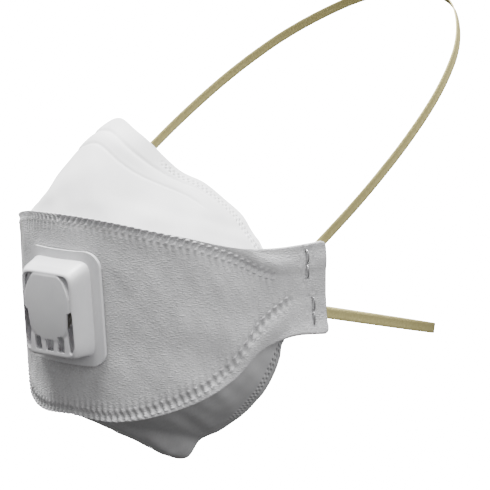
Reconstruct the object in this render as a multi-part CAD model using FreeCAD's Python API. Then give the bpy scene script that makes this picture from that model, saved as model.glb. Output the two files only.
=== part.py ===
import FreeCAD, Part
import math
import os

from FreeCAD import Vector

os.makedirs("parts", exist_ok=True)

# A flat-fold respirator of three panels, in the shape it takes on a face.
# Millimetres. +Z is up, the front faces -Y, and +X is the wearer's left.
# The origin is midway between the two side tabs, in the plane of the face seal.

# Driving dimensions of the centre panel. In plan it is half an ellipse.
HALF_WIDTH = 75.5
DEPTH_AT_TOP = 86.0
DEPTH_AT_BOTTOM = 78.5
TAB_BACK_Y = 2.0
# Heights along the panel: (angle from the front in degrees, millimetres).
CENTRE_TOP_EDGE = [(0, 32.5), (20, 31.0), (42, 25.5), (58, 20.3), (70, 18.8), (90, 20.0)]
CENTRE_BOTTOM_EDGE = [
    (0, -55.5), (20, -56.2), (42, -48.5), (57, -37.5), (66, -25.5), (76, -20.0), (90, -20.4)
]
# Free margin outside each weld.
UPPER_MARGIN = [(0, 1.8), (42, 2.4), (58, 4.8), (70, 11.2)]
LOWER_MARGIN = [(0, 2.2), (42, 4.2), (57, 7.0), (77, 15.6)]

# Layer thicknesses, from the outside inwards.
WEB = 0.4
FILTER = 1.0
STIFFENER = 0.5
LAYER_GAP = 0.05
SEAM_GAP = 1.2
# How finely a layer's surface is drawn: poles across the face, and poles from weld to edge.
PANEL_POLES = (41, 9)
CLIP_POLES = (25, 4)
FOAM_POLES = (21, 4)
NORMAL_STEP = 0.004

# Face edge of the top panel: (share of the half width, x, y, z).
TOP_END_ANGLE = 70.0
TOP_FACE_EDGE = [
    (0.0, 0.0, -48.5, 71.0),
    (0.2, 11.0, -47.0, 64.5),
    (0.38, 22.0, -36.0, 49.8),
    (0.52, 31.5, -28.5, 43.3),
    (0.72, 46.0, -25.0, 34.8),
    (0.88, 57.5, -26.3, 26.8),
    (1.0, 66.3, -29.5, 18.0),
]
TOP_BULGE = 10.0
# Face edge of the chin panel, without its pull tab.
CHIN_END_ANGLE = 77.0
CHIN_FACE_EDGE = [
    (0.0, 0.0, -14.0, -77.0),
    (0.2, 15.0, -12.5, -73.0),
    (0.45, 35.0, -13.6, -62.0),
    (0.63, 49.0, -15.4, -52.0),
    (0.78, 59.5, -16.8, -42.0),
    (0.92, 67.0, -18.0, -30.0),
    (1.0, 69.2, -18.5, -19.5),
]
CHIN_BULGE = 2.0
PULL_TAB_LENGTH = 7.5
PULL_TAB_HALF_WIDTH = 10.0
# Both face edges are drawn for this half width inside the centre panel, and widen with it.
FACE_EDGE_HALF_WIDTH = 71.85

# Nose clip, in the space between the top panel's outer web and its filter.
CLIP_POCKET = 1.6
CLIP_THICKNESS = 0.8
CLIP_END_SHARE = 0.62
CLIP_BAND = (0.8, 0.9)
FOAM_THICKNESS = 3.5
FOAM_GLUE = 0.4
FOAM_END_SHARE = 0.45
FOAM_BAND = (0.78, 0.97)

# Exhalation valve, drawn facing -Y about its own centre and then tilted with the panel.
VALVE_Z = -7.5
FLANGE_WIDTH = 44.0
FLANGE_HEIGHT = 50.0
FLANGE_CORNER = 7.0
FLANGE_THICKNESS = 1.2
FLANGE_CLEARANCE = 0.11
PORT_WIDTH = 20.0
PORT_HEIGHT = 20.0
PORT_CLEARANCE = 0.3
COLLAR_WALL = 1.4
SEAT_STAND = 3.0
CROSS_BAR = 1.6
CROSS_BAR_SETBACK = 0.4
# A round outline is a square with corners this much short of its half width.
ROUND_SPARE = 0.1
FLAP_OVERLAP = 0.8
FLAP_THICKNESS = 0.5
FLAP_CLEARANCE = 0.3
COVER_WIDTH = 35.0
COVER_HEIGHT = 42.0
COVER_DEPTH = 10.0
COVER_CORNER = 4.0
COVER_WALL = 1.2
COVER_TOP_SLOPE = 4.0
COVER_SIDE_SLOPE = 1.2
SIDE_VENT_HEIGHT = 18.0
SIDE_VENT_WIDTH = 3.5
SIDE_VENT_RISE = 3.0
FRONT_VENT_WIDTH = 4.5
FRONT_VENT_HEIGHT = 7.0
FRONT_VENT_RISE = 2.4
FRONT_VENT_RIB = 1.8
FRONT_VENT_DEPTH = 6.0
FRONT_VENT_COUNT = 4

# Staples and straps. Each strap lies in one plane that holds the X direction.
STAPLE_CROWN = 12.7
STAPLE_WIRE = 0.6
STAPLE_POINT_GAP = 0.8
STAPLE_STAND = 0.15
LEG_HOLE_CLEARANCE = 0.05
UPPER_STAPLE_YZ = (-9.6, 10.6)
LOWER_STAPLE_YZ = (-6.0, -10.0)
STRAP_WIDTH = 4.8
STRAP_THICKNESS = 0.8
STRAP_GAP = 0.35
UPPER_STRAP_SLOPE = 35.5
LOWER_STRAP_SLOPE = -12.0
# Half of each route: (x, distance back from the staple in the strap's plane).
# The first two points get their x from the tab that the end lies against.
STRAP_START = -4.0
STRAP_CLEAR_OF_TAB = 22.0
UPPER_ROUTE = [(73.5, 48), (71.5, 84), (65, 120), (51, 154), (22, 184)]
LOWER_ROUTE = [(73, 44), (70.5, 70), (60.5, 96), (42, 117), (16, 130)]
# Each turn is an arc that takes this share of the shorter run beside it.
TURN_SHARE = 0.45

CENTRE_THICKNESS = 2 * WEB + FILTER + STIFFENER + 3 * LAYER_GAP
PANEL_INSET = CENTRE_THICKNESS + SEAM_GAP


def along(stations, at):
    """A smooth value through (place, value) stations."""
    last = len(stations) - 1
    i = max(k for k in range(last) if k == 0 or stations[k][0] <= at)
    before = stations[max(i - 1, 0)]
    low = stations[i]
    high = stations[i + 1]
    after = stations[min(i + 2, last)]
    span = high[0] - low[0]
    slope_low = (high[1] - before[1]) / (high[0] - before[0])
    slope_high = (after[1] - low[1]) / (after[0] - low[0])
    if i == 0:
        slope_low = 0.0
    u = (at - low[0]) / span
    start = low[1] * (2 * u**3 - 3 * u**2 + 1) + slope_low * span * (u**3 - 2 * u**2 + u)
    end = high[1] * (3 * u**2 - 2 * u**3) + slope_high * span * (u**3 - u**2)
    return start + end


def depth_at(z):
    """How far the front of the centre panel stands forward at a height."""
    top = CENTRE_TOP_EDGE[0][1]
    bottom = CENTRE_BOTTOM_EDGE[0][1]
    share = (z - bottom) / (top - bottom)
    return DEPTH_AT_BOTTOM + (DEPTH_AT_TOP - DEPTH_AT_BOTTOM) * share


def on_ellipse(angle, z, inwards):
    """A point of the centre panel, a distance inwards from its outside."""
    half = HALF_WIDTH - inwards
    deep = depth_at(z) + TAB_BACK_Y - inwards
    turn = math.radians(angle)
    return Vector(half * math.sin(turn), TAB_BACK_Y - deep * math.cos(turn), z)


def centre_point(across, up, inwards):
    angle = 90.0 * across
    low = along(CENTRE_BOTTOM_EDGE, abs(angle))
    high = along(CENTRE_TOP_EDGE, abs(angle))
    return on_ellipse(angle, low + (high - low) * up, inwards)


def mirrored(edge, across):
    """A point of a face edge, on either side of the middle."""
    share = abs(across)
    x, y, z = (along([(s[0], s[k]) for s in edge], share) for k in (1, 2, 3))
    if share < edge[1][0]:
        x = edge[1][1] * share / edge[1][0]
    wider = (HALF_WIDTH - PANEL_INSET) / FACE_EDGE_HALF_WIDTH
    return Vector(math.copysign(x * wider, across), y, z)


def curved(start, end, bulge, t):
    """A point of a bent line from start to end, standing out by half of bulge."""
    middle = (start + end) * 0.5 + bulge
    return start * (1 - t) ** 2 + middle * (2 * t * (1 - t)) + end * t**2


def top_middle(across, t):
    angle = TOP_END_ANGLE * across
    z = along(CENTRE_TOP_EDGE, abs(angle)) - along(UPPER_MARGIN, abs(angle))
    start = on_ellipse(angle, z, PANEL_INSET)
    turn = math.radians(angle)
    out = Vector(math.sin(turn), -math.cos(turn), 1.0).normalize()
    return curved(start, mirrored(TOP_FACE_EDGE, across), out * (TOP_BULGE * (1 - across**2)), t)


def chin_middle(across, t):
    angle = CHIN_END_ANGLE * across
    z = along(CENTRE_BOTTOM_EDGE, abs(angle)) + along(LOWER_MARGIN, abs(angle))
    start = on_ellipse(angle, z, PANEL_INSET)
    end = mirrored(CHIN_FACE_EDGE, across)
    lobe = math.exp(-((end.x / PULL_TAB_HALF_WIDTH) ** 4))
    end = end + Vector(0, 0, -PULL_TAB_LENGTH * lobe)
    turn = math.radians(angle)
    out = Vector(math.sin(turn), -math.cos(turn), -1.0).normalize()
    return curved(start, end, out * (CHIN_BULGE * (1 - across**2)), t)


def inset_point(surface, inward_sign, across, t, inwards):
    """A point of a panel's surface moved inwards along its normal."""
    side = surface(across + NORMAL_STEP, t) - surface(across - NORMAL_STEP, t)
    way = surface(across, t + NORMAL_STEP) - surface(across, t - NORMAL_STEP)
    normal = side.cross(way).normalize() * inward_sign
    return surface(across, t) + normal * inwards


def top_point(across, t, inwards):
    return inset_point(top_middle, -1, across, t, inwards)


def chin_point(across, t, inwards):
    return inset_point(chin_middle, 1, across, t, inwards)


def spaced(low, high, count):
    return [low + (high - low) * i / (count - 1) for i in range(count)]


def knots(poles):
    """Even knots of a cubic surface with its ends on its first and last poles."""
    return [float(i) for i in range(poles - 2)], [4] + [1] * (poles - 4) + [4]


def layer(point, outer, inner, sides=(-1.0, 1.0), ways=(0.0, 1.0), poles_each_way=PANEL_POLES):
    """A closed layer between two depths of a panel."""
    surfaces = []
    across_knots, across_mults = knots(poles_each_way[0])
    way_knots, way_mults = knots(poles_each_way[1])
    for inwards in (outer, inner):
        poles = [
            [point(a, t, inwards) for t in spaced(*ways, poles_each_way[1])]
            for a in spaced(*sides, poles_each_way[0])
        ]
        surface = Part.BSplineSurface()
        surface.buildFromPolesMultsKnots(
            poles, across_mults, way_mults, across_knots, way_knots, False, False, 3, 3
        )
        surfaces.append(surface)
    walls = []
    for end in (0, 1):
        short = [s.uIso(s.bounds()[end]).toShape() for s in surfaces]
        walls.append(Part.makeRuledSurface(*short))
        long = [s.vIso(s.bounds()[2 + end]).toShape() for s in surfaces]
        walls.append(Part.makeRuledSurface(*long))
    shell = Part.makeShell([s.toShape() for s in surfaces] + walls)
    shell.sewShape()
    solid = Part.makeSolid(shell)
    if solid.Volume < 0:
        solid.reverse()
    return solid


# The valve's frame: it tilts with the front of the panel.
VALVE_TILT = math.degrees(
    math.atan2(DEPTH_AT_TOP - DEPTH_AT_BOTTOM, CENTRE_TOP_EDGE[0][1] - CENTRE_BOTTOM_EDGE[0][1])
)
VALVE_PLACE = FreeCAD.Placement(
    Vector(0, -depth_at(VALVE_Z), VALVE_Z), FreeCAD.Rotation(Vector(1, 0, 0), VALVE_TILT)
)
FRONT_RADIUS = HALF_WIDTH**2 / (depth_at(VALVE_Z) + TAB_BACK_Y)


def placed(shape):
    moved = shape.copy()
    moved.Placement = VALVE_PLACE.multiply(shape.Placement)
    return moved


def rounded(width, height, corner, y, up=0.0):
    """A rounded rectangle's wire, facing -Y."""
    x = width / 2
    z = height / 2
    d = corner * (1 - math.sqrt(0.5))
    edges = []
    for sx, sz, turned in ((1, 1, 0), (1, -1, 1), (-1, -1, 0), (-1, 1, 1)):
        on_side = Vector(sx * x, y, up + sz * (z - corner))
        on_end = Vector(sx * (x - corner), y, up + sz * z)
        middle = Vector(sx * (x - d), y, up + sz * (z - d))
        ends = (on_side, on_end) if turned else (on_end, on_side)
        edges.append((ends[0], middle, ends[1]))
    wire = []
    for i, (start, middle, end) in enumerate(edges):
        wire.append(Part.Arc(start, middle, end).toShape())
        wire.append(Part.LineSegment(end, edges[(i + 1) % 4][0]).toShape())
    return Part.Wire(wire)


def block(width, height, corner, back, front, up=0.0):
    """A rounded block from y = back forward to y = -front."""
    face = Part.Face(rounded(width, height, corner, back, up))
    return face.extrude(Vector(0, -front - back, 0))


def drum(stand):
    """The upright cylinder that follows the panel's front, a distance outside it."""
    height = 4 * FLANGE_HEIGHT
    place = Vector(0, FRONT_RADIUS, -height / 2)
    return Part.makeCylinder(FRONT_RADIUS + stand, height, place)


# Tools that cut right through reach this far each way.
REACH = 20.0
FRONT_SLOPE = math.tan(math.radians(VALVE_TILT))
# The panel's curve changes with height, so the flange stands off by that change too.
CURVE_CHANGE = FRONT_SLOPE * (FLANGE_HEIGHT / 2) * (FLANGE_WIDTH / 2) ** 2 / (2 * HALF_WIDTH**2)
FLANGE_STAND = FLANGE_CLEARANCE + CURVE_CHANGE
FLANGE_FRONT = FLANGE_STAND + FLANGE_THICKNESS


def disc(width, height, back, front):
    """A block with its corners rounded until its shorter sides are all but half circles."""
    return block(width, height, min(width, height) / 2 - ROUND_SPARE, back, front)


def valve_seat():
    flange = block(FLANGE_WIDTH, FLANGE_HEIGHT, FLANGE_CORNER, REACH, REACH).common(drum(FLANGE_FRONT))
    flange = flange.cut(drum(FLANGE_STAND))
    collar_width = PORT_WIDTH - 2 * PORT_CLEARANCE
    collar_height = PORT_HEIGHT - 2 * PORT_CLEARANCE
    collar = disc(collar_width, collar_height, CENTRE_THICKNESS, SEAT_STAND)
    hole_width = collar_width - 2 * COLLAR_WALL
    hole_height = collar_height - 2 * COLLAR_WALL
    seat = flange.fuse(collar).cut(disc(hole_width, hole_height, REACH, REACH))
    bar_y = CROSS_BAR_SETBACK - SEAT_STAND
    upright_height = hole_height + COLLAR_WALL
    upright_corner = Vector(-CROSS_BAR / 2, bar_y, -upright_height / 2)
    upright = Part.makeBox(CROSS_BAR, CROSS_BAR, upright_height, upright_corner)
    level_width = hole_width + COLLAR_WALL
    level_corner = Vector(-level_width / 2, bar_y, -CROSS_BAR / 2)
    level = Part.makeBox(level_width, CROSS_BAR, CROSS_BAR, level_corner)
    return seat.fuse([upright, level]).removeSplitter()


def valve_flap():
    width = PORT_WIDTH - 2 * PORT_CLEARANCE + 2 * FLAP_OVERLAP
    height = PORT_HEIGHT - 2 * PORT_CLEARANCE + 2 * FLAP_OVERLAP
    back = -(SEAT_STAND + FLAP_CLEARANCE)
    return disc(width, height, back, -back + FLAP_THICKNESS)


def cover_body(wall, back_stand):
    """The cover's outside, or its hollow when wall is its thickness."""
    width = COVER_WIDTH - 2 * wall
    height = COVER_HEIGHT - 2 * wall
    front_width = width - 2 * COVER_SIDE_SLOPE
    front_height = height - COVER_TOP_SLOPE
    corner = COVER_CORNER - wall / 2
    back = rounded(width, height, corner, COVER_CORNER)
    shoulder = rounded(width, height, corner, -FLANGE_FRONT)
    front = rounded(front_width, front_height, corner, -(COVER_DEPTH - wall), -COVER_TOP_SLOPE / 2)
    lower = Part.makeLoft([back, shoulder], True, True)
    upper = Part.makeLoft([shoulder, front], True, True)
    return lower.fuse(upper).cut(drum(back_stand))


def valve_cover():
    cover = cover_body(0.0, FLANGE_FRONT).cut(cover_body(COVER_WALL, 0.0))
    bottom = -COVER_HEIGHT / 2
    side_y = -(COVER_DEPTH + SIDE_VENT_WIDTH) / 2
    side_corner = Vector(-COVER_WIDTH, side_y, bottom + SIDE_VENT_RISE)
    vents = [Part.makeBox(2 * COVER_WIDTH, SIDE_VENT_WIDTH, SIDE_VENT_HEIGHT, side_corner)]
    pitch = FRONT_VENT_WIDTH + FRONT_VENT_RIB
    first = -(FRONT_VENT_COUNT * pitch - FRONT_VENT_RIB) / 2
    for i in range(FRONT_VENT_COUNT):
        corner = Vector(first + i * pitch, -2 * COVER_DEPTH + FRONT_VENT_DEPTH, bottom + FRONT_VENT_RISE)
        vents.append(Part.makeBox(FRONT_VENT_WIDTH, COVER_DEPTH, FRONT_VENT_HEIGHT, corner))
    return cover.cut(vents)


def port():
    """The hole through the centre panel for the valve's collar."""
    return placed(disc(PORT_WIDTH, PORT_HEIGHT, REACH, REACH))


def tab_x(y, z, inwards):
    """Where the tab's surface lies, a distance inwards from its outside."""
    deep = depth_at(z) + TAB_BACK_Y - inwards
    return (HALF_WIDTH - inwards) * math.sqrt(1 - ((TAB_BACK_Y - y) / deep) ** 2)


def strap_start_x(yz):
    """The middle of a strap's end, which lies against the inside of the tab at any swing."""
    face = tab_x(yz[0] + STRAP_START, yz[1], CENTRE_THICKNESS)
    return face - STRAP_GAP - STRAP_THICKNESS / 2


def staple(side, yz):
    """Crown inside the tab, legs through it, and points bent together outside."""
    wire = STAPLE_WIRE
    y, z = yz
    crown_x = strap_start_x(yz) - STRAP_THICKNESS / 2 - STRAP_GAP - wire
    point_x = tab_x(y, z, 0) + STAPLE_STAND
    low = z - STAPLE_CROWN / 2
    crown = Part.makeBox(wire, wire, STAPLE_CROWN, Vector(crown_x, y - wire / 2, low))
    legs = [
        Part.makeBox(point_x + wire - crown_x, wire, wire, Vector(crown_x, y - wire / 2, leg_z))
        for leg_z in (low, low + STAPLE_CROWN - wire)
    ]
    reach = (STAPLE_CROWN - STAPLE_POINT_GAP) / 2
    points = [
        Part.makeBox(wire, wire, reach, Vector(point_x, y - wire / 2, point_z))
        for point_z in (low, low + STAPLE_CROWN - reach)
    ]
    solid = crown.fuse(legs + points).removeSplitter()
    if side < 0:
        solid = solid.mirror(Vector(0, 0, 0), Vector(1, 0, 0))
    return solid


def leg_holes():
    """Square holes through the tabs for the staples' legs."""
    holes = []
    size = STAPLE_WIRE + 2 * LEG_HOLE_CLEARANCE
    for y, z in (UPPER_STAPLE_YZ, LOWER_STAPLE_YZ):
        for leg_z in (z - STAPLE_CROWN / 2, z + STAPLE_CROWN / 2 - STAPLE_WIRE):
            corner = Vector(-2 * HALF_WIDTH, y - size / 2, leg_z - LEG_HOLE_CLEARANCE)
            holes.append(Part.makeBox(4 * HALF_WIDTH, size, size, corner))
    return holes


def turned_path(points, name):
    """(start, end) or (start, middle, end) for each run and arc of a route in its own plane."""
    pieces = []
    here = points[0]
    radii = []
    for before, corner, after in zip(points, points[1:], points[2:]):
        way_in = (corner - before).normalize()
        way_out = (after - corner).normalize()
        turn = way_in.getAngle(way_out)
        take = TURN_SHARE * min((corner - before).Length, (after - corner).Length)
        radius = take / math.tan(turn / 2)
        first = corner - way_in * take
        last = corner + way_out * take
        inward = (way_out - way_in).normalize()
        middle = corner + inward * (radius / math.cos(turn / 2) - radius)
        pieces.append((here, first))
        pieces.append((first, middle, last))
        here = last
        radii.append(round(radius, 1))
    pieces.append((here, points[-1]))
    print(name, "radii", radii)
    return pieces


def shifted(pieces, by):
    """The same path moved sideways within its plane, which keeps its arcs tangent."""
    moved = []
    normal = Vector(0, 0, 1)
    for piece in pieces:
        if len(piece) == 2:
            aside = (piece[1] - piece[0]).normalize().cross(normal) * by
            moved.append((piece[0] + aside, piece[1] + aside))
        else:
            centre = Part.Arc(*piece).toShape().Curve.Center
            moved.append(tuple(p + (p - centre).normalize() * by for p in piece))
    return moved


def edge_of(piece):
    make = Part.LineSegment if len(piece) == 2 else Part.Arc
    return make(*piece).toShape()


def strap(route, slope, yz, name):
    """A flat band in its own plane, its width square to that plane."""
    start = Vector(strap_start_x(yz), STRAP_START, 0)
    past_tab = HALF_WIDTH - CENTRE_THICKNESS - STRAP_GAP
    clear = Vector(past_tab, STRAP_CLEAR_OF_TAB, 0)
    half = [start, clear] + [Vector(x, r, 0) for x, r in route]
    points = half + [Vector(-p.x, p.y, 0) for p in reversed(half)]
    pieces = turned_path(points, name)
    outer = shifted(pieces, STRAP_THICKNESS / 2)
    inner = shifted(pieces, -STRAP_THICKNESS / 2)
    edges = [edge_of(piece) for piece in outer + inner]
    edges.append(edge_of((outer[0][0], inner[0][0])))
    edges.append(edge_of((outer[-1][-1], inner[-1][-1])))
    face = Part.Face(Part.Wire(Part.__sortEdges__(edges)))
    band = face.extrude(Vector(0, 0, STRAP_WIDTH))
    band.translate(Vector(0, 0, -STRAP_WIDTH / 2))
    band.rotate(Vector(0, 0, 0), Vector(1, 0, 0), slope)
    band.translate(Vector(0, *yz))
    length = sum(edge_of(piece).Length for piece in pieces)
    print(name, "length", round(length, 1), "volume", round(band.Volume, 1))
    print(name, "section times length", round(length * STRAP_WIDTH * STRAP_THICKNESS, 1))
    return band


def export(name, shape):
    solids = shape.Solids
    if len(solids) == 1:
        shape = solids[0]
    box = shape.BoundBox
    print(name, "valid", shape.isValid(), "solids", len(solids), "volume", round(shape.Volume, 1), box)
    shape.exportStep(f"parts/{name}.step")


def centre_panel():
    depth = 0.0
    cuts = [port()] + leg_holes()
    for name, thickness in (
        ("centre_outer_web", WEB),
        ("centre_filter", FILTER),
        ("centre_stiffener", STIFFENER),
        ("centre_inner_web", WEB),
    ):
        solid = layer(centre_point, depth, depth + thickness)
        export(name, solid.cut(cuts))
        depth += thickness + LAYER_GAP


def side_panel(prefix, point, pocket):
    """Outer web, filter and inner web, with a pocket under the outer web."""
    export(f"{prefix}_outer_web", layer(point, 0.0, WEB))
    filter_start = WEB + pocket
    export(f"{prefix}_filter", layer(point, filter_start, filter_start + FILTER))
    web_start = filter_start + FILTER + LAYER_GAP
    export(f"{prefix}_inner_web", layer(point, web_start, web_start + WEB))
    return web_start + WEB


def nose_parts(inside):
    clip_start = WEB + (CLIP_POCKET - CLIP_THICKNESS) / 2
    sides = (-CLIP_END_SHARE, CLIP_END_SHARE)
    clip = layer(top_point, clip_start, clip_start + CLIP_THICKNESS, sides, CLIP_BAND, CLIP_POLES)
    export("nose_clip", clip)
    foam_start = inside + FOAM_GLUE
    sides = (-FOAM_END_SHARE, FOAM_END_SHARE)
    foam = layer(top_point, foam_start, foam_start + FOAM_THICKNESS, sides, FOAM_BAND, FOAM_POLES)
    export("nose_foam", foam)


def main():
    centre_panel()
    inside = side_panel("top", top_point, CLIP_POCKET)
    nose_parts(inside)
    side_panel("chin", chin_point, LAYER_GAP)
    export("valve_seat", placed(valve_seat()))
    export("valve_flap", placed(valve_flap()))
    export("valve_cover", placed(valve_cover()))
    for side, side_name in ((1, "left"), (-1, "right")):
        export(f"staple_upper_{side_name}", staple(side, UPPER_STAPLE_YZ))
        export(f"staple_lower_{side_name}", staple(side, LOWER_STAPLE_YZ))
    export("upper_strap", strap(UPPER_ROUTE, UPPER_STRAP_SLOPE, UPPER_STAPLE_YZ, "upper_strap"))
    export("lower_strap", strap(LOWER_ROUTE, LOWER_STRAP_SLOPE, LOWER_STAPLE_YZ, "lower_strap"))


main()
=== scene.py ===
"""The looks of a flat-fold dust mask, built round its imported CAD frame. Lengths below are in
millimetres and turned into metres where a mesh is made."""

import math

import bpy
import numpy as np
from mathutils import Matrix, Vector


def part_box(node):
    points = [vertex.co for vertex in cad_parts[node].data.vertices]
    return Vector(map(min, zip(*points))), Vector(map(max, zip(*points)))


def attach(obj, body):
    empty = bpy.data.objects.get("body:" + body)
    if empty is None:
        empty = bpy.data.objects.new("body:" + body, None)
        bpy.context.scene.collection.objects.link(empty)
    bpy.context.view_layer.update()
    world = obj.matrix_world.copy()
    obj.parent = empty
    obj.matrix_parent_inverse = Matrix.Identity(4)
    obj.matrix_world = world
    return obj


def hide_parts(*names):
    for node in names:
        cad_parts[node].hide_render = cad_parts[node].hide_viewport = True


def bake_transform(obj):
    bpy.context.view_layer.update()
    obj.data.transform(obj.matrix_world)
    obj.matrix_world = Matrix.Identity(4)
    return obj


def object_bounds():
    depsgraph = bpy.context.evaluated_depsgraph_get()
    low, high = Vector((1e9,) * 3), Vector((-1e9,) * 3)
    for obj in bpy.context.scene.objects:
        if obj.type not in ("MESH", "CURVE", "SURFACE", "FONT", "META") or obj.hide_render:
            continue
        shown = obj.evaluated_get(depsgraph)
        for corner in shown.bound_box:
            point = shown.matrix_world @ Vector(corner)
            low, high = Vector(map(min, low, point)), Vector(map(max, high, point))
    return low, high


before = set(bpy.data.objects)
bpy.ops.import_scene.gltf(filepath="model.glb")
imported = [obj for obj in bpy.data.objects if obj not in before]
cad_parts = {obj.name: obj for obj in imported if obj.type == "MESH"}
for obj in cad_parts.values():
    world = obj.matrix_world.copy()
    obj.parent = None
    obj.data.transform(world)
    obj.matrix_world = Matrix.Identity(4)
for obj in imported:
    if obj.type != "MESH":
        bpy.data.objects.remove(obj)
CAD_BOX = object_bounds()
MM = 0.001

# ---------------------------------------------------------------- shape of the panels
# Edges and margins below are (degrees round from the front, millimetres) stations. Face edges are
# (share of the way to the end, x, y, z) stations.
OUTER = np.array(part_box("centre_outer_web")) / MM
HALF_WIDTH = OUTER[1][0]
TAB_BACK_Y = OUTER[1][1]
DEPTH_AT_TOP = -OUTER[0][1]
DEPTH_AT_BOTTOM = DEPTH_AT_TOP - 7.5
CENTRE_TOP_EDGE = [(0, 32.5), (20, 31.0), (42, 25.5), (58, 20.3), (70, 18.8), (90, 20.0)]
CENTRE_BOTTOM_EDGE = [
    (0, -55.5),
    (20, -56.2),
    (42, -48.5),
    (57, -37.5),
    (66, -25.5),
    (76, -20.0),
    (90, -20.4),
]
UPPER_MARGIN = [(0, 1.8), (42, 2.4), (58, 4.8), (70, 11.2), (90, 13.0)]
LOWER_MARGIN = [(0, 2.2), (42, 4.2), (57, 7.0), (77, 15.6), (90, 17.0)]
PANEL_INSET = 3.0
TOP_END_ANGLE = 70.0
TOP_FACE_EDGE = [
    (0.0, 0.0, -48.5, 71.0),
    (0.2, 11.0, -47.0, 64.5),
    (0.38, 22.0, -36.0, 49.8),
    (0.52, 31.5, -28.5, 43.3),
    (0.72, 46.0, -25.0, 34.8),
    (0.88, 57.5, -26.3, 26.8),
    (1.0, 67.2, -29.5, 18.0),
]
TOP_BULGE = 10.0
CHIN_END_ANGLE = 77.0
CHIN_FACE_EDGE = [
    (0.0, 0.0, -14.0, -77.0),
    (0.2, 15.0, -12.5, -73.0),
    (0.45, 35.0, -13.6, -62.0),
    (0.63, 49.0, -15.4, -52.0),
    (0.78, 59.5, -16.8, -42.0),
    (0.92, 67.0, -18.0, -30.0),
    (1.0, 69.2, -18.5, -19.5),
]
CHIN_BULGE = 2.0
PULL_TAB_LENGTH = 7.5
PULL_TAB_HALF_WIDTH = 10.0
VALVE_Z = -7.5

# ---------------------------------------------------------------- camera
AZIMUTH = math.radians(45.0)
ELEVATION = math.radians(8.0)
MM_ACROSS_VIEW = 218.0
CAMERA_FAR = 1600.0
AIM_RIGHT = 19.6
AIM_UP = 10.5


def along(stations, at):
    """Smooth values through (place, value) stations, for an array of places."""
    places = np.array([s[0] for s in stations], float)
    values = np.array([s[1] for s in stations], float)
    slopes = np.zeros(len(places))
    slopes[1:-1] = (values[2:] - values[:-2]) / (places[2:] - places[:-2])
    slopes[-1] = (values[-1] - values[-2]) / (places[-1] - places[-2])
    i = np.clip(np.searchsorted(places, at, side="right") - 1, 0, len(places) - 2)
    span = places[i + 1] - places[i]
    u = (at - places[i]) / span
    low = values[i] * (2 * u**3 - 3 * u**2 + 1) + slopes[i] * span * (u**3 - 2 * u**2 + u)
    high = values[i + 1] * (3 * u**2 - 2 * u**3) + slopes[i + 1] * span * (u**3 - u**2)
    return low + high


def smooth(low, high, at):
    t = np.clip((at - low) / (high - low), 0, 1)
    return t * t * (3 - 2 * t)


def depth_at(z):
    top, bottom = CENTRE_TOP_EDGE[0][1], CENTRE_BOTTOM_EDGE[0][1]
    return DEPTH_AT_BOTTOM + (DEPTH_AT_TOP - DEPTH_AT_BOTTOM) * (z - bottom) / (top - bottom)


def on_ellipse(angle, z, inwards):
    turn = np.radians(angle)
    deep = depth_at(z) + TAB_BACK_Y - inwards
    x = (HALF_WIDTH - inwards) * np.sin(turn)
    return np.stack([x, TAB_BACK_Y - deep * np.cos(turn), z], -1)


def waves(points, sizes, seed):
    """Soft uneven waves: a sum of sines in seeded directions, about -1 to 1."""
    rng = np.random.default_rng(seed)
    total = np.zeros(points.shape[:-1])
    for size in sizes:
        for _ in range(3):
            way = rng.normal(size=3)
            way /= np.linalg.norm(way)
            total += np.sin(points @ way * 2 * np.pi / size + rng.uniform(0, 2 * np.pi))
    return total / (2.0 * len(sizes))


MIDDLE_ROW = 60


def normals(points, towards):
    """Unit normals of a grid, on the side that faces towards at its middle."""
    n = np.cross(np.gradient(points, axis=0), np.gradient(points, axis=1))
    n = n / np.maximum(np.linalg.norm(n, axis=-1, keepdims=True), 1e-9)
    return n if n[len(n) // 2, MIDDLE_ROW] @ towards > 0 else -n


def run_across(line):
    """Distance along a line of points, as a column, counted from its middle point."""
    run = np.concatenate([[0], np.cumsum(np.linalg.norm(np.diff(line, axis=0), axis=-1))])
    return (run - run[len(run) // 2])[:, None]


def run_length(points):
    """Distance along each column of a grid, from its first row."""
    steps = np.linalg.norm(np.diff(points, axis=1), axis=-1)
    return np.concatenate([np.zeros((len(points), 1)), np.cumsum(steps, axis=1)], axis=1)


def new_mesh(name, points, faces):
    mesh = bpy.data.meshes.new(name)
    corners = [tuple(p) for p in np.asarray(points) * MM]
    mesh.from_pydata(corners, [], [tuple(int(i) for i in f) for f in faces])
    mesh.validate()
    mesh.update()
    mesh.polygons.foreach_set("use_smooth", [True] * len(mesh.polygons))
    piece = bpy.data.objects.new(name, mesh)
    bpy.context.scene.collection.objects.link(piece)
    return piece


def grid_faces(rows, columns, start=0, flip=False):
    i, j = np.meshgrid(np.arange(rows - 1), np.arange(columns - 1), indexing="ij")
    a = start + i * columns + j
    quads = np.stack([a, a + columns, a + columns + 1, a + 1], -1).reshape(-1, 4)
    return quads[:, ::-1] if flip else quads


def closed_sheet(name, outer, inner):
    """A closed fabric piece from two grids of the same size, joined round their rim."""
    rows, columns = outer.shape[:2]
    count = rows * columns
    faces = [grid_faces(rows, columns), grid_faces(rows, columns, count, True)]
    index = np.arange(count).reshape(rows, columns)
    rim = np.concatenate([index[:, 0], index[-1, 1:], index[-2::-1, -1], index[0, -2:0:-1]])
    after = np.roll(rim, -1)
    faces.append(np.stack([after, rim, rim + count, after + count], -1))
    points = np.concatenate([outer.reshape(-1, 3), inner.reshape(-1, 3)])
    return new_mesh(name, points, np.concatenate(faces))


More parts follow.
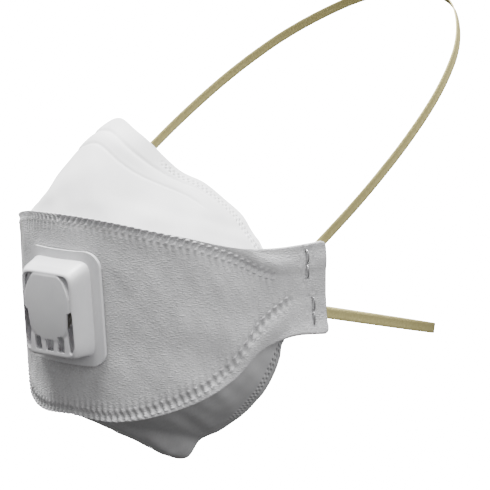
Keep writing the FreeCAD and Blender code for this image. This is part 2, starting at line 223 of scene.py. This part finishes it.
def loft(name, rings, caps_last=False):
    """A closed solid from rings of the same count, in the row frame."""
    rows, around = rings.shape[:2]
    k = np.arange(around)
    after = np.roll(k, -1)
    first, last = tuple(k[::-1]), tuple((rows - 1) * around + k)
    sides = []
    for r in range(rows - 1):
        low, high = r * around, (r + 1) * around
        sides += list(zip(low + k, low + after, high + after, high + k))
    faces = [*sides, first, last] if caps_last else [first, *sides, last]
    return new_mesh(name, rings.reshape(-1, 3), faces)


def dashes(run, off, pitch, slant, half_height, share):
    """1 inside a row of slanted dashes along a weld, 0 outside, with soft sides."""
    phase = (run + slant * off) / pitch
    place = np.abs(phase - np.floor(phase) - 0.5)
    inside = 1 - smooth(share * 0.6, share, place)
    return inside * (1 - smooth(half_height * 0.75, half_height, np.abs(off)))


# ---------------------------------------------------------------- centre panel
CENTRE_COLUMNS = 561
MARGIN_ROWS = 16
MIDDLE_ROWS = 111
CENTRE_INSET = 0.35
CENTRE_THICKNESS = 2.3
MARGIN_THICKNESS = 1.1
TAB_CORNER = 3.2
TAB_CORNER_ANGLE = 87.8
STAPLES = {"upper": (-9.6, 10.6), "lower": (-6.0, -10.0)}
STAPLE_CROWN = 12.7
WELD_DEPTH = 0.95
RIDGE_PITCH = 3.0
RIDGE_SHARE = 0.32
PUCKER_HEIGHT = 0.22
PUCKER_FROM_WELD = 3.5
PUCKER_REACH = 2.4
# The valve's surroundings stay smooth out to the first radius, and are wavy from the second.
CALM_RADII = (26.0, 34.0)
# Half sizes, along y and z, of the pressed oval round each staple.
OVAL = (3.4, 8.6)


def centre_panel():
    angle = np.linspace(-90, 90, CENTRE_COLUMNS)
    size = np.abs(angle)
    bottom = along(CENTRE_BOTTOM_EDGE, size)
    top = along(CENTRE_TOP_EDGE, size)
    low_weld = bottom + along(LOWER_MARGIN, size)
    high_weld = top - along(UPPER_MARGIN, size)
    # The tab's two outer corners are rounded.
    past = np.clip((size - TAB_CORNER_ANGLE) / (90.0 - TAB_CORNER_ANGLE), 0, 1)
    corner = TAB_CORNER * (1 - np.sqrt(1 - past**2))
    top, bottom = top - corner, bottom + corner
    parts = [
        low_weld + np.linspace(-1, 0, MARGIN_ROWS)[:-1, None] * (low_weld - bottom),
        low_weld + np.linspace(0, 1, MIDDLE_ROWS)[:-1, None] * (high_weld - low_weld),
        high_weld + np.linspace(0, 1, MARGIN_ROWS)[:, None] * (top - high_weld),
    ]
    z = np.concatenate(parts).T
    turn = np.repeat(angle[:, None], z.shape[1], axis=1)
    base = on_ellipse(turn, z, CENTRE_INSET)
    out = normals(base, (0, -1, 0))
    run = run_across(base[:, MIDDLE_ROW])
    along_weld = np.abs(run)
    above = z - high_weld[:, None]
    below = z - low_weld[:, None]
    upper_on = 1 - smooth(70.5, 72.0, np.abs(turn))
    lower_on = 1 - smooth(76.0, 77.5, np.abs(turn))
    tab = smooth(68, 82, np.abs(turn))
    rise = np.zeros_like(z)
    # Each weld is a valley crossed by a row of slanted ridges.
    rise -= WELD_DEPTH * np.exp(-((above / 1.9) ** 2)) * upper_on
    rise += 0.75 * dashes(along_weld, above, RIDGE_PITCH, -0.9, 2.4, RIDGE_SHARE) * upper_on
    rise -= WELD_DEPTH * np.exp(-((below / 2.1) ** 2)) * lower_on
    rise += 0.70 * dashes(along_weld, below, RIDGE_PITCH, 0.35, 2.8, RIDGE_SHARE) * lower_on
    # Puckers run a little way into the panel from each weld.
    pucker = np.sin(along_weld * 2 * np.pi / RIDGE_PITCH) * PUCKER_HEIGHT
    rise += pucker * np.exp(-((above + PUCKER_FROM_WELD) / PUCKER_REACH) ** 2) * upper_on
    rise += pucker * np.exp(-((below - PUCKER_FROM_WELD) / PUCKER_REACH) ** 2) * lower_on
    # The free margins roll outwards and ruffle where they widen towards the tab.
    wide_up = np.clip(above, 0, None)
    wide_down = np.clip(-below, 0, None)
    roll = smooth(50, 72, np.abs(turn)) * (1 - 0.65 * tab)
    upper_roll = 1.1 * np.sin(np.clip(wide_up / 9.0, 0, 1) * np.pi)
    rise += roll * (upper_roll + 0.35 * np.sin(along_weld / 3.1))
    rise += roll * 0.9 * np.sin(np.clip(wide_down / 12.0, 0, 1) * np.pi)
    rise += smooth(60, 90, np.abs(turn)) * 0.14 * wide_down * smooth(6, 16, wide_down)
    # Soft dents and the slack of a worn sheet.
    calm = 1 - smooth(*CALM_RADII, np.hypot(run, z - VALVE_Z))
    soft = waves(base, (34.0, 21.0), 3) * 0.5 + waves(base, (9.0, 6.0), 5) * 0.14
    rise += soft * (1 - calm) * (1 - 0.75 * tab)
    # Pressed lines round each staple, and the flattened tab.
    for y, z_mid in STAPLES.values():
        aside, up = (base[..., 1] - y) / OVAL[0], (z - z_mid) / OVAL[1]
        ring = np.exp(-(((np.hypot(aside, up) - 1) / 0.13) ** 2))
        swing = np.arctan2(up, aside)
        rise -= 0.35 * ring * (np.sin(swing * 9) > -0.3) * tab
        rise -= 0.45 * np.exp(-(((base[..., 1] - y) / 1.6) ** 2)) * (np.abs(z - z_mid) < 7) * tab
    outer = base + out * rise[..., None]
    middle = smooth(0.5, 4.0, -above) * smooth(0.5, 4.0, below)
    thick = MARGIN_THICKNESS + (CENTRE_THICKNESS - MARGIN_THICKNESS) * middle * (1 - 0.45 * tab)
    inner = base - out * thick[..., None] + out * np.minimum(rise, 0.2)[..., None] * 0.5
    piece = closed_sheet("centre_panel_fabric", outer, inner)
    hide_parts("centre_outer_web", "centre_filter", "centre_stiffener", "centre_inner_web")
    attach(piece, "mask_body")
    return piece


# ---------------------------------------------------------------- top and chin panels
SIDE_COLUMNS = 721
SIDE_ROWS = 131
SIDE_THICKNESS = 2.2
CHIN_THICKNESS = SIDE_THICKNESS - 0.3
EDGE_THICKNESS = 0.9
DOT_DEPTH = 0.75
DOT_PITCH = 2.3
DOT_ROW_GAP = 1.9
# Two pressed lines hold the nose clip: (distance in from the edge, depth, half width).
CLIP_LINES = ((17.5, 0.42, 0.8), (9.0, 0.75, 1.1))
CLIP_FROM_EDGE = 13.2


def face_edge(stations, across):
    share = np.abs(across)
    x, y, z = (along([(s[0], s[k]) for s in stations], share) for k in (1, 2, 3))
    first = stations[1]
    x = np.where(share < first[0], first[1] * share / first[0], x)
    return np.stack([np.sign(across) * x, y, z], -1)


def side_surface(angle_end, weld_height, stations, bulge, up, lobe):
    across = np.linspace(-1, 1, SIDE_COLUMNS)
    t = np.linspace(0, 1, SIDE_ROWS)[None, :, None]
    angle = angle_end * across
    start = on_ellipse(angle, weld_height(np.abs(angle)), PANEL_INSET)[:, None]
    end = face_edge(stations, across)
    end[:, 2] -= lobe * np.exp(-((end[:, 0] / PULL_TAB_HALF_WIDTH) ** 4))
    end = end[:, None]
    turn = np.radians(angle)
    out = np.stack([np.sin(turn), -np.cos(turn), np.full(len(turn), up)], -1) / math.sqrt(2)
    middle = (start + end) / 2 + (out * (bulge * (1 - across**2))[:, None])[:, None]
    return across, start * (1 - t) ** 2 + middle * (2 * t * (1 - t)) + end * t**2


def dot_rows(edge, across_mm, first):
    """Two staggered rows of small round pits near an edge."""
    pits = np.zeros_like(edge)
    for row, offset in ((0, 0.0), (1, 0.5)):
        phase = across_mm / DOT_PITCH + offset
        near = (phase - np.floor(phase) - 0.5) * DOT_PITCH
        reach = np.hypot(near, edge - first - row * DOT_ROW_GAP)
        pits += 1 - smooth(0.3, 0.85, reach)
    return pits


def top_panel():
    def weld(size):
        return along(CENTRE_TOP_EDGE, size) - along(UPPER_MARGIN, size)

    across, base = side_surface(TOP_END_ANGLE, weld, TOP_FACE_EDGE, TOP_BULGE, 1.0, 0.0)
    out = normals(base, (0, 0, 1))
    run = run_length(base)
    to_edge = run[:, -1:] - run
    edge_line = run_across(base[:, -1])
    middle = np.abs(across)[:, None]
    rise = np.zeros(base.shape[:-1])
    from_seam = smooth(1.0, 9.0, run)
    inside = 1 - smooth(0.55, 0.66, middle)
    # The clip lies a little proud between its two lines.
    for place, deep, wide in CLIP_LINES:
        wander = place + 1.4 * np.sin(edge_line / 11.0)
        rise -= deep * np.exp(-(((to_edge - wander) / wide) ** 2)) * inside
    rise += 0.5 * np.exp(-(((to_edge - CLIP_FROM_EDGE) / 3.0) ** 2)) * inside
    rise -= DOT_DEPTH * dot_rows(to_edge, edge_line, 3.6) * smooth(0.30, 0.38, middle)
    rise += waves(base, (40.0, 24.0), 11) * 0.9 * from_seam
    rise += waves(base * np.array([1.0, 0.5, 0.5]), (13.0, 8.0), 13) * 0.28 * from_seam
    # A shallow valley follows the seam, away from the nose.
    valley = np.exp(-(((run - 12.0 - 6 * middle) / 4.5) ** 2))
    rise -= valley * smooth(0.1, 0.35, middle) * 0.6
    outer = base + out * rise[..., None]
    thick = EDGE_THICKNESS + (SIDE_THICKNESS - EDGE_THICKNESS) * smooth(0.6, 5.0, to_edge)
    inner = base - out * thick[..., None] + out * np.minimum(rise, 0)[..., None] * 0.4
    piece = closed_sheet("top_panel_fabric", outer, inner)
    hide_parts("top_outer_web", "top_filter", "top_inner_web", "nose_clip")
    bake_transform(piece)
    return piece, base, out, to_edge, middle


def chin_panel():
    def weld(size):
        return along(CENTRE_BOTTOM_EDGE, size) + along(LOWER_MARGIN, size)

    across, base = side_surface(
        CHIN_END_ANGLE, weld, CHIN_FACE_EDGE, CHIN_BULGE, -1.0, PULL_TAB_LENGTH
    )
    out = normals(base, (0, 0, -1))
    run = run_length(base)
    to_edge = run[:, -1:] - run
    edge_line = run_across(base[:, -1])
    middle = np.abs(across)[:, None]
    from_seam = smooth(1.0, 9.0, run)
    rise = waves(base, (36.0, 22.0), 21) * 0.8 * from_seam
    rise += waves(base, (12.0, 8.0), 23) * 0.22 * from_seam
    rise -= DOT_DEPTH * dot_rows(to_edge, edge_line, 3.2) * smooth(0.42, 0.5, middle)
    outer = base + out * rise[..., None]
    thick = EDGE_THICKNESS + (CHIN_THICKNESS - EDGE_THICKNESS) * smooth(0.6, 5.0, to_edge)
    inner = base - out * thick[..., None]
    piece = closed_sheet("chin_panel_fabric", outer, inner)
    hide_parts("chin_outer_web", "chin_filter", "chin_inner_web")
    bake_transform(piece)
    return piece


FOAM_REACH = 0.45
FOAM_ROWS = 15
# Distances in from the nose edge.
FOAM_FAR = 9.5
FOAM_NEAR = 1.6
# Distances inwards from the top panel's outside.
FOAM_BACK = 2.55
FOAM_RIM = 2.6
FOAM_CROWN = 3.6


def nose_foam(base, out, to_edge, middle):
    """A crowned foam strip inside the nose edge, from the top panel's own grid."""
    places = np.linspace(FOAM_FAR, FOAM_NEAR, FOAM_ROWS)
    picked = []
    for column in np.flatnonzero(middle[:, 0] <= FOAM_REACH):
        rows = np.interp(places, to_edge[column][::-1], np.arange(to_edge.shape[1])[::-1])
        low = np.floor(rows).astype(int).clip(0, to_edge.shape[1] - 2)
        part = (rows - low)[:, None]
        at = base[column, low] * (1 - part) + base[column, low + 1] * part
        picked.append((at, out[column, low]))
    at = np.array([p[0] for p in picked])
    inwards = -np.array([p[1] for p in picked])
    u = np.linspace(-1, 1, at.shape[1])[None, :]
    v = np.linspace(-1, 1, at.shape[0])[:, None]
    crown = np.sqrt(np.clip(1 - np.abs(u) ** 5, 0, 1))
    crown = crown * np.sqrt(np.clip(1 - np.abs(v) ** 24, 0, 1))
    back = at + inwards * FOAM_BACK
    front = at + inwards * (FOAM_RIM + FOAM_CROWN * crown)[..., None]
    piece = closed_sheet("nose_foam_pad", back, front)
    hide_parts("nose_foam")
    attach(piece, "top_panel")
    return piece


# ---------------------------------------------------------------- valve cover
VALVE_DEPTH = depth_at(VALVE_Z)
CENTRE_HEIGHT = CENTRE_TOP_EDGE[0][1] - CENTRE_BOTTOM_EDGE[0][1]
VALVE_TILT = math.atan2(DEPTH_AT_TOP - DEPTH_AT_BOTTOM, CENTRE_HEIGHT)
FRONT_RADIUS = HALF_WIDTH**2 / (VALVE_DEPTH + TAB_BACK_Y)
FLANGE_FRONT = 1.4


def on_valve(points):
    """From the valve's own frame (x, forward, up) to the row frame, in millimetres."""
    x, forward, up = points[..., 0], points[..., 1], points[..., 2]
    y = -forward * math.cos(VALVE_TILT) - up * math.sin(VALVE_TILT)
    z = -forward * math.sin(VALVE_TILT) + up * math.cos(VALVE_TILT)
    return np.stack([x, y - VALVE_DEPTH, z + VALVE_Z], -1)


def squared_circle(count, power):
    a = np.linspace(0, 2 * np.pi, count, endpoint=False)
    c, s = np.cos(a), np.sin(a)
    return np.sign(c) * np.abs(c) ** (2 / power), np.sign(s) * np.abs(s) ** (2 / power)


def cover_front(x, z):
    """How far the cover's front stands forward: an oval shield with its corners let in."""
    half_height = np.where(z > 0, 18.6, 14.0)
    shield = np.hypot(x / 15.0, z / half_height)
    dome = 10.1 - 0.7 * np.clip(shield, 0, 1) ** 2
    corner = 9.3 - 2.6 * smooth(-14.0, 8.0, z)
    top_only = smooth(0.97, 1.03, shield)
    return dome * (1 - top_only) + corner * top_only


COVER_WALL = 1.0
COVER_AROUND = 240
COVER_SQUARENESS = 9.0
# The front's middle is below the flange's, and its rim stands this far forward.
FRONT_DROP = -1.7
RIM_FORWARD = 9.35
CUT_FRONT = 13.0
SHARP_ANGLE = 32
# Openings in the cover's front, as (x, up) corners: one each side of the shield, three below it.
SIDE_OPENING = [
    (12.2, -0.6),
    (15.3, 0.8),
    (15.6, -15.0),
    (13.8, -18.4),
    (12.2, -17.8),
    (11.3, -9.0),
]
LOWER_OPENINGS = [
    [(4.4, -18.2), (9.2, -18.2), (9.6, -12.4), (8.2, -10.6), (5.2, -11.4)],
    [(-2.6, -18.2), (2.2, -18.2), (2.9, -12.9), (-2.9, -12.9)],
    [(-9.2, -18.2), (-4.8, -18.2), (-5.5, -12.0), (-9.4, -11.6)],
]


def cover_solid(name, wall):
    """The cover's outside, or its hollow when wall is its thickness."""
    ux, uz = squared_circle(COVER_AROUND, COVER_SQUARENESS)
    rings = []

    def ring(half_width, half_height, up, forward):
        x = ux * (half_width - wall)
        z = uz * (half_height - wall) + up
        rings.append(np.stack([x, np.broadcast_to(forward, x.shape) - wall, z], -1))

    def seat_drop(half_width):
        x = ux * (half_width - wall)
        return FRONT_RADIUS - np.sqrt(FRONT_RADIUS**2 - x**2)

    ring(17.6, 21.0, 0.0, FLANGE_FRONT + 0.02 - wall - seat_drop(17.6))
    ring(17.5, 20.9, 0.0, FLANGE_FRONT + 0.9 - seat_drop(17.5))
    for share in np.linspace(0.15, 0.85, 6):
        half_width = 17.3 - 1.0 * share
        forward = 2.4 + 5.8 * share - seat_drop(half_width) * (1 - share)
        ring(half_width, 20.8 - 1.6 * share, -1.4 * share, forward)
    for inset, forward in ((0.15, 8.3), (0.5, 8.95), (1.0, 9.3), (1.5, RIM_FORWARD)):
        ring(16.2 - inset, 19.1 - inset, FRONT_DROP, forward)
    for share in np.linspace(0.02, 0.985, 46):
        half_width, half_height = 14.6 * (1 - share) + wall, 17.5 * (1 - share) + wall
        front = cover_front(ux * (half_width - wall), uz * (half_height - wall) + FRONT_DROP)
        edge = smooth(0.0, 0.05, share)
        ring(half_width, half_height, FRONT_DROP, RIM_FORWARD * (1 - edge) + front * edge)
    return loft(name, on_valve(np.array(rings)))


def cutter(outline, back, front):
    """A prism through the cover's front, from (x, up) corners with rounded turns."""
    corners = np.array(outline, float)
    flat = []
    for i, corner in enumerate(corners):
        before, after = corners[i - 1], corners[(i + 1) % len(corners)]
        flat += [corner + (before - corner) * share for share in (0.25, 0.08)]
        flat += [corner + (after - corner) * share for share in (0.08, 0.25)]
    flat = np.array(flat)
    following = np.roll(flat, -1, axis=0)
    if np.sum(flat[:, 0] * following[:, 1] - following[:, 0] * flat[:, 1]) < 0:
        flat = flat[::-1]
    rings = np.empty((2, len(flat), 3))
    rings[..., 0], rings[..., 2] = flat[:, 0], flat[:, 1]
    rings[..., 1] = np.array([back, front])[:, None]
    return loft("cutter", on_valve(rings))


def bake(piece):
    """Turn a piece's modifiers into its mesh."""
    graph = bpy.context.evaluated_depsgraph_get()
    mesh = bpy.data.meshes.new_from_object(piece.evaluated_get(graph))
    piece.modifiers.clear()
    piece.data = mesh


def valve_cover():
    piece = cover_solid("valve_cover_shell", 0.0)
    cutters = [cover_solid("hollow", COVER_WALL)]
    for side in (-1, 1):
        cutters.append(cutter([(side * x, up) for x, up in SIDE_OPENING], 4.5, CUT_FRONT))
    for outline in LOWER_OPENINGS:
        cutters.append(cutter(outline, 4.0, CUT_FRONT))
    bpy.context.view_layer.update()
    for one in cutters:
        cut = piece.modifiers.new("cut", "BOOLEAN")
        cut.operation = "DIFFERENCE"
        cut.solver = "MANIFOLD"
        cut.object = one
    bake(piece)
    piece.data.set_sharp_from_angle(angle=math.radians(SHARP_ANGLE))
    for one in cutters:
        bpy.data.objects.remove(one)
    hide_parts("valve_cover")
    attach(piece, "mask_body")
    return piece


# ---------------------------------------------------------------- staples and straps
WIRE = 0.42


def tube(name, path, radius, sides=10):
    """A closed round wire along a path."""
    path = np.array(path, float)
    ways = np.gradient(path, axis=0)
    ways /= np.linalg.norm(ways, axis=-1, keepdims=True)
    points = []
    aside = np.cross(ways[0], [0.3, 1.0, 0.2])
    for at, way in zip(path, ways):
        aside = aside - way * aside.dot(way)
        aside /= np.linalg.norm(aside)
        other = np.cross(way, aside)
        a = np.linspace(0, 2 * np.pi, sides, endpoint=False)[:, None]
        points.append(at + radius * (np.cos(a) * aside + np.sin(a) * other))
    return loft(name, np.array(points), caps_last=True)


def staple(which, side, side_name):
    y, z = STAPLES[which]
    node = f"staple_{which}_{side_name}"
    low, high = np.array(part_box(node)) / MM
    inside, outside = sorted((abs(low[0]), abs(high[0])))
    half = STAPLE_CROWN / 2 - 0.3
    shape = []
    for sign in (1, -1):
        branch = [
            (outside - 0.25, y, z + sign * 0.25),
            (outside + 0.1, y, z + sign * 2.0),
            (outside + 0.1, y, z + sign * (half - 1.4)),
            (outside - 0.15, y, z + sign * (half - 0.35)),
            (outside - 1.0, y, z + sign * half),
            (inside + 0.9, y, z + sign * half),
            (inside + 0.35, y, z + sign * (half - 0.3)),
            (inside + 0.3, y, z + sign * (half - 1.0)),
        ]
        shape += branch if sign > 0 else branch[::-1]
    piece = tube(node + "_wire", [(side * p[0], p[1], p[2]) for p in shape], WIRE)
    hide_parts(node)
    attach(piece, "mask_body")
    return piece


STRAP_WIDTH = 4.8
STRAP_THICKNESS = 0.8
STRAP_AROUND = 26
RIB_HEIGHT = 0.06
RIB_PITCH = 0.8
UPPER_SLOPE = math.radians(35.5)
LOWER_SLOPE = math.radians(-12.0)
# Half of each loop, from a staple back, as (x, distance along the slope).
UPPER_ROUTE = [(70.9, -4), (72.7, 22), (73.5, 48), (71.5, 84), (65, 120), (51, 154), (22, 184)]
LOWER_ROUTE = [(71.4, -4), (72.7, 22), (73, 44), (70.5, 70), (60.5, 96), (42, 117), (16, 130)]


def strap(name, route, slope, yz):
    half = [(x, yz[0] + r * math.cos(slope), yz[1] + r * math.sin(slope)) for x, r in route]
    points = half + [(-x, y, z) for x, y, z in reversed(half)]
    line = bpy.data.curves.new(name + "_line", "CURVE")
    line.dimensions = "3D"
    line.resolution_u = 12
    spline = line.splines.new("NURBS")
    spline.points.add(len(points) - 1)
    for point, at in zip(spline.points, points):
        point.co = (*[c * MM for c in at], 1)
    spline.order_u = 3
    spline.use_endpoint_u = True
    holder = bpy.data.objects.new(name + "_line", line)
    bpy.context.scene.collection.objects.link(holder)
    bpy.context.view_layer.update()
    mesh = bpy.data.meshes.new_from_object(holder)
    centre = np.array([v.co[:] for v in mesh.vertices]) / MM
    bpy.data.objects.remove(holder)
    ways = np.gradient(centre, axis=0)
    ways /= np.linalg.norm(ways, axis=-1, keepdims=True)
    across = np.array([0, -math.sin(slope), math.cos(slope)])
    a = np.linspace(0, 2 * np.pi, STRAP_AROUND, endpoint=False)
    wide = np.sign(np.cos(a)) * np.abs(np.cos(a)) ** 0.35 * STRAP_WIDTH / 2
    ribs = RIB_HEIGHT * np.cos(wide * 2 * np.pi / RIB_PITCH)
    deep = np.sign(np.sin(a)) * np.abs(np.sin(a)) ** 0.6 * (STRAP_THICKNESS / 2 + ribs)
    rings = []
    for at, way in zip(centre, ways):
        flat = np.cross(way, across)
        flat /= np.linalg.norm(flat)
        rings.append(at + wide[:, None] * across + deep[:, None] * flat)
    piece = loft(name + "_band", np.array(rings), caps_last=True)
    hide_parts(name)
    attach(piece, name)
    return piece


# ---------------------------------------------------------------- materials
def material(name, colour, roughness, sheen=0.0):
    made = bpy.data.materials.new(name)
    made.use_nodes = True
    shader = made.node_tree.nodes["Principled BSDF"]
    shader.inputs["Base Color"].default_value = (*colour, 1)
    shader.inputs["Roughness"].default_value = roughness
    if sheen:
        shader.inputs["Sheen Weight"].default_value = sheen
        shader.inputs["Sheen Roughness"].default_value = 0.6
    return made, shader


def node(made, kind, **values):
    one = made.node_tree.nodes.new(kind)
    for key, value in values.items():
        if hasattr(one, key):
            setattr(one, key, value)
        else:
            one.inputs[key.replace("_", " ")].default_value = value
    return one


def link(made, a, b):
    made.node_tree.links.new(a, b)


def object_place(made, stretch=(1, 1, 1)):
    where = node(made, "ShaderNodeTexCoord")
    scale = node(made, "ShaderNodeMapping")
    scale.inputs["Scale"].default_value = stretch
    link(made, where.outputs["Object"], scale.inputs["Vector"])
    return scale.outputs["Vector"]


def varied_colour(made, shader, place, low, high, size):
    """Colour that drifts a little between two shades, so no surface is flat."""
    spots = node(made, "ShaderNodeTexNoise", Scale=size, Detail=5.0)
    link(made, place, spots.inputs["Vector"])
    ramp = node(made, "ShaderNodeValToRGB")
    ramp.color_ramp.elements[0].position = 0.32
    ramp.color_ramp.elements[1].position = 0.68
    ramp.color_ramp.elements[0].color = (*low, 1)
    ramp.color_ramp.elements[1].color = (*high, 1)
    link(made, spots.outputs["Fac"], ramp.inputs["Fac"])
    link(made, ramp.outputs["Color"], shader.inputs["Base Color"])


def add_bump(made, shader, heights):
    """Bump from (height output, strength, distance) layers, one after another."""
    before = None
    for height, strength, distance in heights:
        bump = node(made, "ShaderNodeBump", Strength=strength, Distance=distance)
        link(made, height, bump.inputs["Height"])
        if before:
            link(made, before, bump.inputs["Normal"])
        before = bump.outputs["Normal"]
    link(made, before, shader.inputs["Normal"])


def nonwoven(name, low, high, crinkle):
    """Spunbond fabric: fine fibres, and short embossed crinkles where crinkle is over 0."""
    made, shader = material(name, high, 0.88, 0.25)
    place = object_place(made)
    varied_colour(made, shader, place, low, high, 90.0)
    fibres = node(made, "ShaderNodeTexNoise", Scale=2600.0, Detail=6.0, Distortion=1.2)
    link(made, place, fibres.inputs["Vector"])
    layers = [(fibres.outputs["Fac"], 0.25, 0.0002)]
    if crinkle:
        creases = node(made, "ShaderNodeTexVoronoi", feature="DISTANCE_TO_EDGE", Scale=900.0)
        creases.inputs["Randomness"].default_value = 1.0
        stretched = object_place(made, (0.5, 0.5, 1.25))
        warp = node(made, "ShaderNodeTexNoise", Scale=420.0, Detail=2.0)
        link(made, stretched, warp.inputs["Vector"])
        mix = node(made, "ShaderNodeMix", data_type="VECTOR")
        mix.inputs["Factor"].default_value = 0.0016
        # Sockets 4 and 5 in, and 1 out, are the mix node's vector ones.
        link(made, stretched, mix.inputs[4])
        link(made, warp.outputs["Color"], mix.inputs[5])
        link(made, mix.outputs[1], creases.inputs["Vector"])
        layers.append((creases.outputs["Distance"], crinkle, 0.0006))
    add_bump(made, shader, layers)
    return made


def plastic():
    made, shader = material("valve_plastic", (0.80, 0.80, 0.82), 0.34)
    place = object_place(made)
    varied_colour(made, shader, place, (0.77, 0.77, 0.79), (0.83, 0.83, 0.84), 60.0)
    grain = node(made, "ShaderNodeTexNoise", Scale=1800.0, Detail=3.0)
    link(made, place, grain.inputs["Vector"])
    add_bump(made, shader, [(grain.outputs["Fac"], 0.12, 0.0001)])
    shader.inputs["Subsurface Weight"].default_value = 0.08
    shader.inputs["Subsurface Radius"].default_value = (0.002, 0.002, 0.002)
    return made


def elastic():
    made, shader = material("strap_elastic", (0.52, 0.46, 0.19), 0.7)
    place = object_place(made)
    varied_colour(made, shader, place, (0.48, 0.42, 0.17), (0.55, 0.49, 0.21), 700.0)
    weave = node(made, "ShaderNodeTexWave", Scale=520.0, Distortion=2.0, Detail=2.0)
    link(made, place, weave.inputs["Vector"])
    add_bump(made, shader, [(weave.outputs["Fac"], 0.35, 0.0002)])
    return made


def metal(name, colour, roughness):
    made, shader = material(name, colour, roughness)
    shader.inputs["Metallic"].default_value = 1.0
    place = object_place(made)
    varied_colour(made, shader, place, tuple(c * 0.85 for c in colour), colour, 500.0)
    grain = node(made, "ShaderNodeTexNoise", Scale=3000.0, Detail=2.0)
    link(made, place, grain.inputs["Vector"])
    add_bump(made, shader, [(grain.outputs["Fac"], 0.1, 0.0001)])
    return made


def foam():
    made, shader = material("foam", (0.85, 0.85, 0.85), 0.9)
    place = object_place(made)
    varied_colour(made, shader, place, (0.80, 0.80, 0.80), (0.88, 0.88, 0.88), 200.0)
    cells = node(made, "ShaderNodeTexVoronoi", Scale=1800.0)
    link(made, place, cells.inputs["Vector"])
    add_bump(made, shader, [(cells.outputs["Distance"], 0.5, 0.0003)])
    return made


def wear(piece, made):
    piece.data.materials.clear()
    piece.data.materials.append(made)


# ---------------------------------------------------------------- stage, light and camera
# Lengths in this part are in metres.
SKY_ABOVE = 0.60
SKY_BELOW = 0.10
SKY_TURNS = (0.30, 0.75)
FLOOR_HALF_SIZE = 4.0
FLOOR_BELOW_PART = 0.12
FLOOR_GLOW = 20.0
LAMPS = {"above": ((-0.1, -0.15, 1.3), 85), "side": ((1.5, -0.1, 0.7), 13)}
LAMP_SIZE = 0.8
MIDDLE_OF_MASK = (0, -0.03, 0)


def stage():
    """A glowing floor that lights nothing, and a sky that is brighter above."""
    far = FLOOR_HALF_SIZE
    floor_z = CAD_BOX[0][2] - FLOOR_BELOW_PART
    corners = [(x, y, floor_z) for x, y in ((-far, -far), (far, -far), (far, far), (-far, far))]
    mesh = bpy.data.meshes.new("floor")
    mesh.from_pydata(corners, [], [(0, 1, 2, 3)])
    floor = bpy.data.objects.new("floor", mesh)
    bpy.context.scene.collection.objects.link(floor)
    made, shader = material("floor", (0.92, 0.92, 0.92), 0.9)
    shader.inputs["Emission Color"].default_value = (1, 1, 1, 1)
    shader.inputs["Emission Strength"].default_value = FLOOR_GLOW
    made.cycles.emission_sampling = "NONE"
    wear(floor, made)
    floor.visible_diffuse = False
    floor.visible_glossy = False
    world = bpy.data.worlds.new("studio")
    bpy.context.scene.world = world
    world.use_nodes = True
    nodes, links = world.node_tree.nodes, world.node_tree.links
    where = nodes.new("ShaderNodeTexCoord")
    apart = nodes.new("ShaderNodeSeparateXYZ")
    ramp = nodes.new("ShaderNodeValToRGB")
    for one, at, grey in zip(ramp.color_ramp.elements, SKY_TURNS, (SKY_BELOW, SKY_ABOVE)):
        one.position = at
        one.color = (grey, grey, grey, 1)
    half = nodes.new("ShaderNodeMapRange")
    half.inputs["From Min"].default_value = -1.0
    links.new(where.outputs["Generated"], apart.inputs["Vector"])
    links.new(apart.outputs["Z"], half.inputs["Value"])
    links.new(half.outputs["Result"], ramp.inputs["Fac"])
    links.new(ramp.outputs["Color"], nodes["Background"].inputs["Color"])


def area_light(name, at, power):
    lamp = bpy.data.lights.new(name, "AREA")
    lamp.energy = power
    lamp.size = LAMP_SIZE
    holder = bpy.data.objects.new(name, lamp)
    holder.location = at
    way = Vector(MIDDLE_OF_MASK) - Vector(at)
    holder.rotation_euler = way.to_track_quat("-Z", "Y").to_euler()
    bpy.context.scene.collection.objects.link(holder)


def camera():
    right = np.array([math.cos(AZIMUTH), math.sin(AZIMUTH), 0.0])
    towards = np.array(
        [
            math.sin(AZIMUTH) * math.cos(ELEVATION),
            -math.cos(AZIMUTH) * math.cos(ELEVATION),
            math.sin(ELEVATION),
        ]
    )
    up = np.cross(towards, right)
    target = right * AIM_RIGHT + up * AIM_UP
    place = (target + towards * CAMERA_FAR) * MM
    data = bpy.data.cameras.new("camera")
    data.lens = data.sensor_width * CAMERA_FAR / MM_ACROSS_VIEW
    data.clip_start = 0.1
    data.clip_end = 20
    holder = bpy.data.objects.new("camera", data)
    holder.location = place
    holder.rotation_euler = Vector(-towards).to_track_quat("-Z", "Y").to_euler()
    bpy.context.scene.collection.objects.link(holder)
    bpy.context.scene.camera = holder


def main():
    camera()
    strap_material = elastic()
    wear(strap("upper_strap", UPPER_ROUTE, UPPER_SLOPE, STAPLES["upper"]), strap_material)
    wear(strap("lower_strap", LOWER_ROUTE, LOWER_SLOPE, STAPLES["lower"]), strap_material)
    # All three panels are the same white fabric: the top panel has the fabric's own white, and
    # the centre's greyer colour is painted shade.
    wear(centre_panel(), nonwoven("web_mid", (0.60, 0.60, 0.61), (0.68, 0.68, 0.69), 0.6))
    top, base, out, to_edge, middle = top_panel()
    wear(top, nonwoven("web_light", (0.84, 0.84, 0.85), (0.90, 0.90, 0.90), 0.0))
    wear(nose_foam(base, out, to_edge, middle), foam())
    # Painted shade: the chin's grey stands for shade on the same white fabric.
    wear(chin_panel(), nonwoven("web_dark", (0.58, 0.58, 0.59), (0.66, 0.66, 0.67), 0.0))
    valve = plastic()
    wear(valve_cover(), valve)
    steel = metal("staple_steel", (0.55, 0.55, 0.56), 0.35)
    for side, side_name in ((1, "left"), (-1, "right")):
        for which in STAPLES:
            wear(staple(which, side, side_name), steel)
    wear(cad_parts["valve_seat"], valve)
    rubber, shader = material("flap_rubber", (0.66, 0.65, 0.60), 0.5)
    place = object_place(rubber)
    varied_colour(rubber, shader, place, (0.62, 0.61, 0.56), (0.70, 0.69, 0.64), 150.0)
    wear(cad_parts["valve_flap"], rubber)
    stage()
    for name, (at, power) in LAMPS.items():
        area_light(name, at, power)


main()
